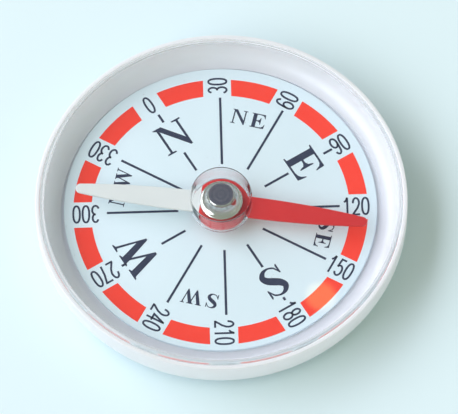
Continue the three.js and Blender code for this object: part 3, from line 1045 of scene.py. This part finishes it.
# %% The cover
COVER_THICKNESS = 1.2
COVER_EDGE_ROUND = 0.7
COVER_EDGE_STEPS = 20
FLANGE_REACH = 0.15
FLANGE_INNER = SEAT_INNER - FLANGE_REACH
FLANGE_HOLD = 0.02
DOME_STEPS = 40
cover_rise = COVER_TOP - COVER_THICKNESS - SEAT_HEIGHT
under_radius = (FLANGE_INNER ** 2 + cover_rise ** 2) / (2 * cover_rise)
dome_radius = under_radius + COVER_THICKNESS
dome_centre = SEAT_HEIGHT + cover_rise - under_radius
round_inset = LENS_RADIUS - COVER_EDGE_ROUND
round_rise = math.sqrt((dome_radius - COVER_EDGE_ROUND) ** 2 - round_inset ** 2)
round_centre = (round_inset, dome_centre + round_rise)
round_end = math.degrees(math.atan2(round_rise, round_inset))
under_end = math.degrees(math.acos(FLANGE_INNER / under_radius))
cover_profile = np.vstack((
    arc((0, dome_centre), under_radius, 90, under_end, DOME_STEPS),
    [(FLANGE_INNER + FLANGE_HOLD, SEAT_HEIGHT), (LENS_RADIUS, SEAT_HEIGHT)],
    [(LENS_RADIUS, round_centre[1] - FLANGE_HOLD)],
    arc(round_centre, COVER_EDGE_ROUND, 0, round_end, COVER_EDGE_STEPS),
    arc((0, dome_centre), dome_radius, round_end, 90, DOME_STEPS)[1:],
))
cover_dome = turned("cover_dome", cover_profile, CASE_TURNS, clear_cover)
cover_dome.data.materials.append(satin_edge)
centres = np.empty((len(cover_dome.data.polygons), 3))
cover_dome.data.polygons.foreach_get("center", centres.ravel())
on_edge = np.hypot(centres[:, 0], centres[:, 1]) > round_inset * MM
cover_dome.data.polygons.foreach_set("material_index", on_edge.astype(np.int32))
print("satin faces at the edge:", int(on_edge.sum()))
let_light_through(cover_dome)
settle(cover_dome, "case", "clear_plastic", "cover_lens")

# %% [markdown]
# ## Table
# The compass lies on pale paper, wide enough to fill the picture from every side. It is stage and
# not part of the object, so it rides on nothing.

# %% Table
TABLE_HALF = 1.5
PAPER_CLOUD = 60.0
pale_paper = new_finish("pale_table_paper")
spot = add_node(pale_paper, "ShaderNodeTexCoord").outputs["Object"]
tint = drifting_colour(pale_paper, spot, PAPER_CLOUD, 2.0, "#daeef4", "#dff2f9")
surface = add_node(pale_paper, "ShaderNodeBsdfPrincipled", {"Base Color": tint, "Roughness": 0.7})
add_node(pale_paper, "ShaderNodeOutputMaterial", {"Surface": surface.outputs["BSDF"]})
table_corners = np.array([(-1, -1, 0), (1, -1, 0), (1, 1, 0), (-1, 1, 0)]) * TABLE_HALF / MM
table = make_piece("table", table_corners, [[0, 1, 2, 3]], pale_paper)
print("table is", 2 * TABLE_HALF, "m wide")

# %% [markdown]
# ## Sky
# The room is the world: its walls give an even and slightly warm light. A dark patch of the ceiling
# is what the flat top of the cap mirrors, and a faint warm bulb shows only as a soft glow in the
# cover, over the bar beside the 180. Both are told apart by the angle between a direction and
# theirs, whose cosine is a dot product.

# %% Sky
ROOM = linear("#c7c9b3")
OVERHEAD = linear("#7c7c8e")
TO_OVERHEAD = (0.218, 0.384, 0.897)
OVERHEAD_EDGE = 0.8
OVERHEAD_CORE = 0.9
SKY_STRENGTH = 1.0
BULB = linear("#ffdc98")
TO_BULB = (0.285, 0.040, 0.958)
BULB_EDGE = math.cos(math.radians(2.3))
BULB_STRENGTH = 2.3
sky = bpy.data.worlds.new("soft_room")
sky.use_nodes = True
sky.node_tree.nodes.clear()
scene.world = sky
direction = add_node(sky, "ShaderNodeTexCoord").outputs["Generated"]
above = add_node(sky, "ShaderNodeVectorMath", {0: direction, 1: TO_OVERHEAD}, operation="DOT_PRODUCT")
patch = add_node(sky, "ShaderNodeMapRange",
                 {"Value": above.outputs["Value"], "From Min": OVERHEAD_EDGE,
                  "From Max": OVERHEAD_CORE})
shade = add_node(sky, "ShaderNodeMix",
                 {MIX_FACTOR: patch.outputs["Result"], MIX_A: ROOM, MIX_B: OVERHEAD}, data_type="RGBA")
toward = add_node(sky, "ShaderNodeVectorMath", {0: direction, 1: TO_BULB}, operation="DOT_PRODUCT")
bulb = add_node(sky, "ShaderNodeMapRange",
                {"Value": toward.outputs["Value"], "From Min": BULB_EDGE, "From Max": 1.0},
                interpolation_type="SMOOTHSTEP")
hue = add_node(sky, "ShaderNodeMix",
               {MIX_FACTOR: bulb.outputs["Result"], MIX_A: shade.outputs[MIX_RESULT], MIX_B: BULB},
               data_type="RGBA")
level = add_node(sky, "ShaderNodeMapRange",
                 {"Value": bulb.outputs["Result"], "To Min": SKY_STRENGTH, "To Max": BULB_STRENGTH})
glow = add_node(sky, "ShaderNodeBackground",
                {"Color": hue.outputs[MIX_RESULT], "Strength": level.outputs["Result"]})
add_node(sky, "ShaderNodeOutputWorld", {"Surface": glow.outputs["Background"]})
print("room light", np.round(ROOM[:3], 2))

# %% [markdown]
# ## Window light
# A wide window on the left is one broad lamp. It gives the shadow its side, and its width keeps the
# needle's shadow weak. A sun lamp would draw a hard edge that the real one lacks.

# %% Window light
WINDOW_COLOUR = (0.905, 0.905, 1.0)


def add_lamp(name, bearing, elevation, distance, wide, high, power):
    """A broad lamp at a bearing and a height above the horizon, aimed at the compass."""
    outward, _ = bearing_axes(bearing)
    rise = math.radians(elevation)
    place = Vector((*(outward * math.cos(rise)), math.sin(rise))) * distance
    lamp = bpy.data.objects.new(name, bpy.data.lights.new(name, "AREA"))
    lamp.data.energy = power
    lamp.data.color = WINDOW_COLOUR
    lamp.data.shape = "RECTANGLE"
    lamp.data.size = wide
    lamp.data.size_y = high
    lamp.location = place
    lamp.rotation_euler = place.to_track_quat("Z", "Y").to_euler()
    scene.collection.objects.link(lamp)
    return lamp


key_lamp = add_lamp("window_light", bearing=306, elevation=42, distance=1.3,
                    wide=2.4, high=0.8, power=25.0)
print("window light at", np.round(key_lamp.location, 3))
